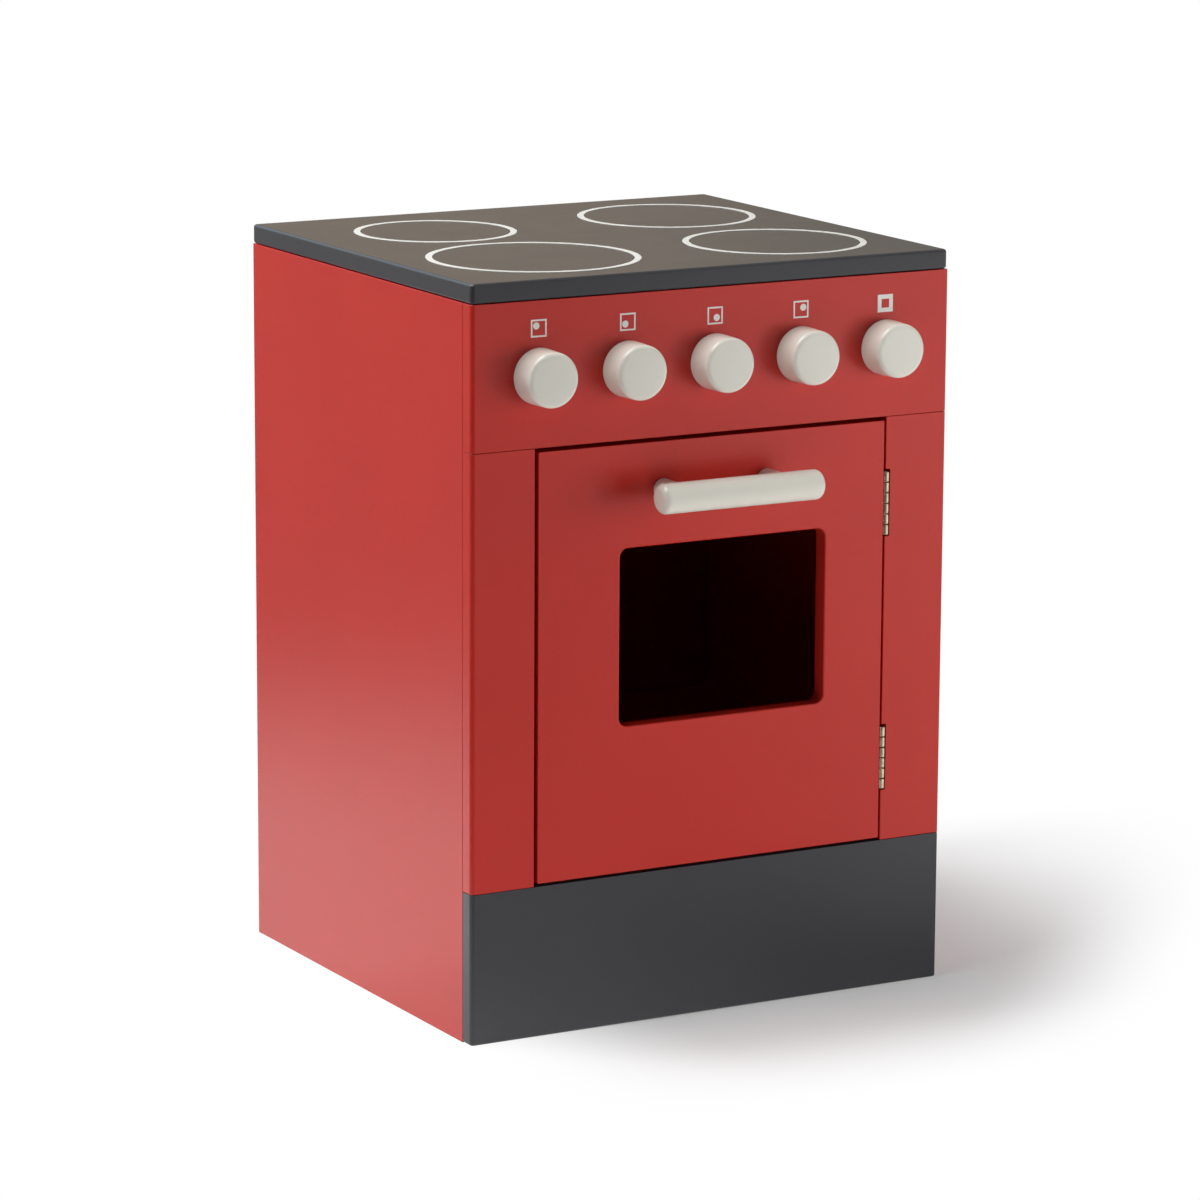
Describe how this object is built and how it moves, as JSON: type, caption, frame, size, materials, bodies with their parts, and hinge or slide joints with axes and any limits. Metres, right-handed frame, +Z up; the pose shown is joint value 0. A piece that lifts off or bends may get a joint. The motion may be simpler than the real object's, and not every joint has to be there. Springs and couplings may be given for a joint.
{
  "type": "toy oven",
  "caption": "Freestanding wooden play oven: board cabinet with dark worktop and plinth, printed hob rings, turning knobs, and a side-hinged windowed door with a bar handle.",
  "frame": {"origin": "on the floor, under the middle of the whole part with its handle", "axes": "+Z up, -Y out of the front with the door and the knobs, +X to the right of someone facing the front"},
  "size_m": [0.357, 0.364, 0.5002],
  "materials": {
    "red_paint": "satin red paint on fine board",
    "charcoal_paint": "satin charcoal paint on fine board",
    "white_paint": "satin off-white paint on turned wood",
    "white_print": "screen-printed off-white ink",
    "nickel": "pale brassy plating, satin",
    "steel": "zinc-plated steel",
    "white_plastic": "moulded white plastic",
    "ferrite": "sintered dark grey magnet"
  },
  "bodies": {
    "cabinet": {"worktop": "charcoal_paint", "plinth": "charcoal_paint", "bottom_board": "red_paint", "oven_shelf": "red_paint", "hob_ring_front_left": "white_print", "hob_ring_front_right": "white_print", "hob_ring_rear_left": "white_print", "hob_ring_rear_right": "white_print", "control_panel": "red_paint", "stile_left": "red_paint", "stile_right": "red_paint", "side_left": "red_paint", "side_right": "red_paint", "back_panel": "red_paint", "top_rail_front": "red_paint", "top_rail_rear": "red_paint", "hinge_upper_stile_leaf": "nickel", "hinge_upper_pin": "nickel", "hinge_upper_stile_screw_1": "nickel", "hinge_upper_stile_screw_2": "nickel", "hinge_lower_stile_leaf": "nickel", "hinge_lower_pin": "nickel", "hinge_lower_stile_screw_1": "nickel", "hinge_lower_stile_screw_2": "nickel", "catch_housing": "white_plastic", "catch_magnet": "ferrite", "catch_screw_1": "steel", "catch_screw_2": "steel"},
    "door": {"door": "red_paint", "handle_bar": "white_paint", "handle_post_left": "white_paint", "handle_post_right": "white_paint", "handle_screw_left": "steel", "handle_screw_right": "steel", "hinge_upper_door_leaf": "nickel", "hinge_upper_door_screw_1": "nickel", "hinge_upper_door_screw_2": "nickel", "hinge_lower_door_leaf": "nickel", "hinge_lower_door_screw_1": "nickel", "hinge_lower_door_screw_2": "nickel", "strike_plate": "steel", "strike_screw": "steel"},
    "knob_1": {"knob_1": "white_paint", "knob_washer_1": "steel", "knob_screw_1": "steel"},
    "knob_2": {"knob_2": "white_paint", "knob_washer_2": "steel", "knob_screw_2": "steel"},
    "knob_3": {"knob_3": "white_paint", "knob_washer_3": "steel", "knob_screw_3": "steel"},
    "knob_4": {"knob_4": "white_paint", "knob_washer_4": "steel", "knob_screw_4": "steel"},
    "knob_5": {"knob_5": "white_paint", "knob_washer_5": "steel", "knob_screw_5": "steel"}
  },
  "joints": [
    {"name": "door_hinge", "type": "hinge", "parent": "cabinet", "child": "door", "pos_m": [0.1335, -0.1374, 0.246], "axis": [0, 0, 1], "range_deg": [0, 110]},
    {"name": "knob_1_turn", "type": "hinge", "parent": "cabinet", "child": "knob_1", "pos_m": [-0.13, -0.139, 0.438], "axis": [0, 1, 0], "continuous": true},
    {"name": "knob_2_turn", "type": "hinge", "parent": "cabinet", "child": "knob_2", "pos_m": [-0.065, -0.139, 0.438], "axis": [0, 1, 0], "continuous": true},
    {"name": "knob_3_turn", "type": "hinge", "parent": "cabinet", "child": "knob_3", "pos_m": [0, -0.139, 0.438], "axis": [0, 1, 0], "continuous": true},
    {"name": "knob_4_turn", "type": "hinge", "parent": "cabinet", "child": "knob_4", "pos_m": [0.065, -0.139, 0.438], "axis": [0, 1, 0], "continuous": true},
    {"name": "knob_5_turn", "type": "hinge", "parent": "cabinet", "child": "knob_5", "pos_m": [0.13, -0.139, 0.438], "axis": [0, 1, 0], "continuous": true}
  ]
}
